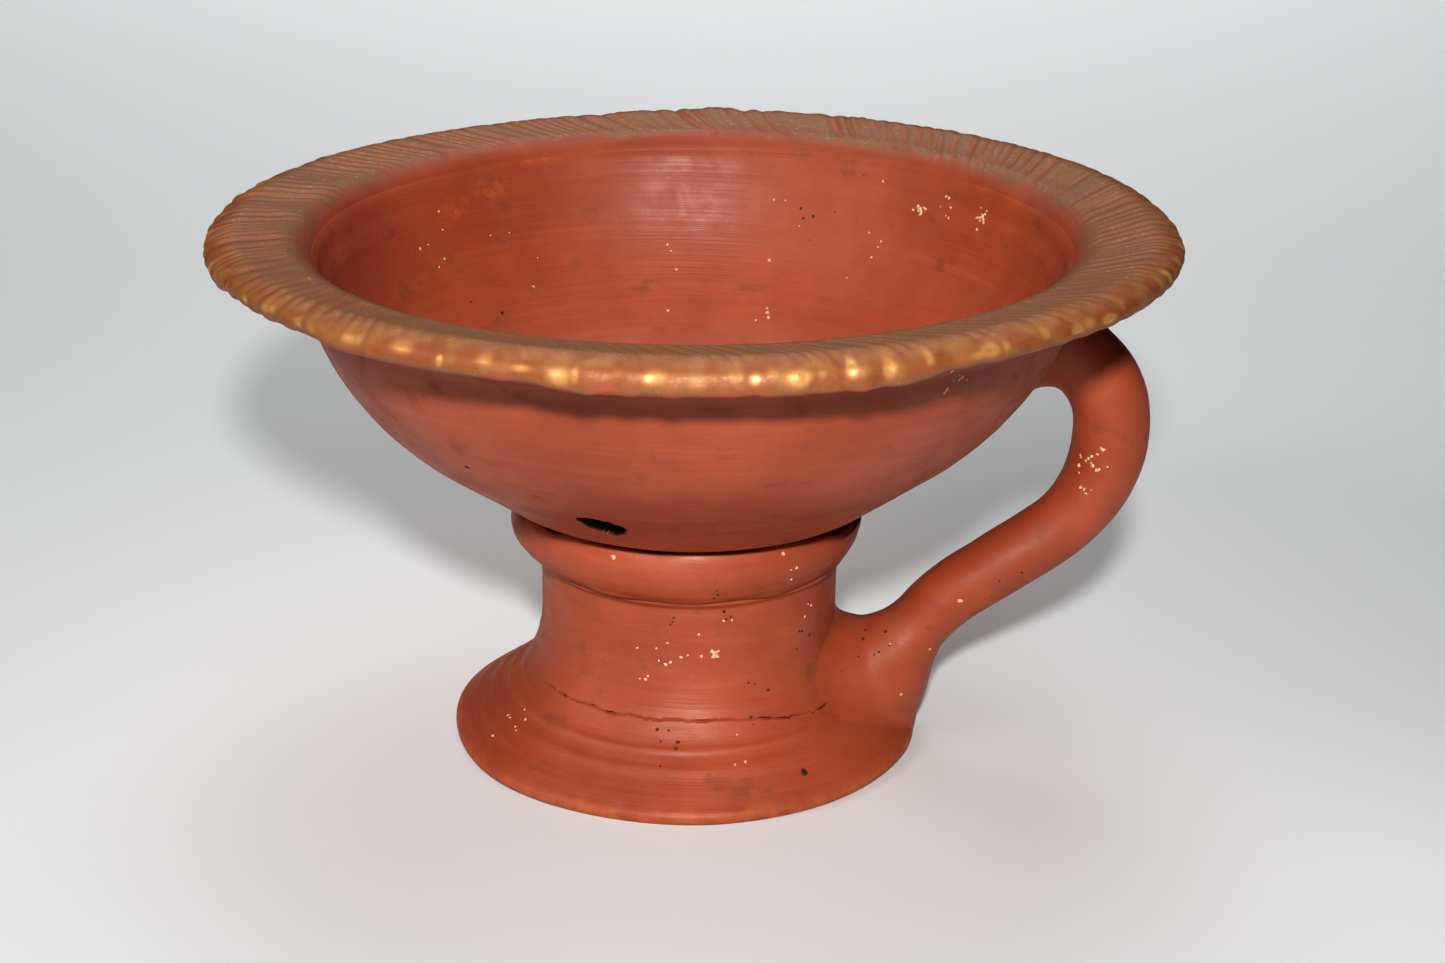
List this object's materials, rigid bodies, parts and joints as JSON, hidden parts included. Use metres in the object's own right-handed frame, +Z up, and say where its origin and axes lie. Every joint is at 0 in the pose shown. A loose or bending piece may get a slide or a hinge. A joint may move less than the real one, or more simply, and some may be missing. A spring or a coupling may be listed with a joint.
{
  "type": "footed clay oil lamp",
  "caption": "Terracotta pedestal lamp: wide bowl with a combed, gold-painted flange, socket collar, hollow flared foot and an S-shaped coil handle.",
  "frame": {"origin": "centre of the foot's resting ring, on the surface the lamp stands on, on the axis of the turned parts", "axes": "+Z up along the axis of the bowl and pedestal; +X towards the handle, which lies in the XZ plane"},
  "size_m": [0.15, 0.15, 0.087],
  "materials": {
    "bowl_clay": "satin",
    "pedestal_clay": "satin",
    "handle_clay": "satin",
    "luting_clay": "matte",
    "gold_paint": "satin"
  },
  "bodies": {
    "root": {"bowl": "bowl_clay", "rim_gilding": "gold_paint", "socket_collar": "pedestal_clay", "luting_coil": "luting_clay", "stem": "pedestal_clay", "foot": "pedestal_clay", "handle": "handle_clay", "handle_top_wad": "handle_clay", "handle_foot_wad": "handle_clay"}
  },
  "joints": []
}
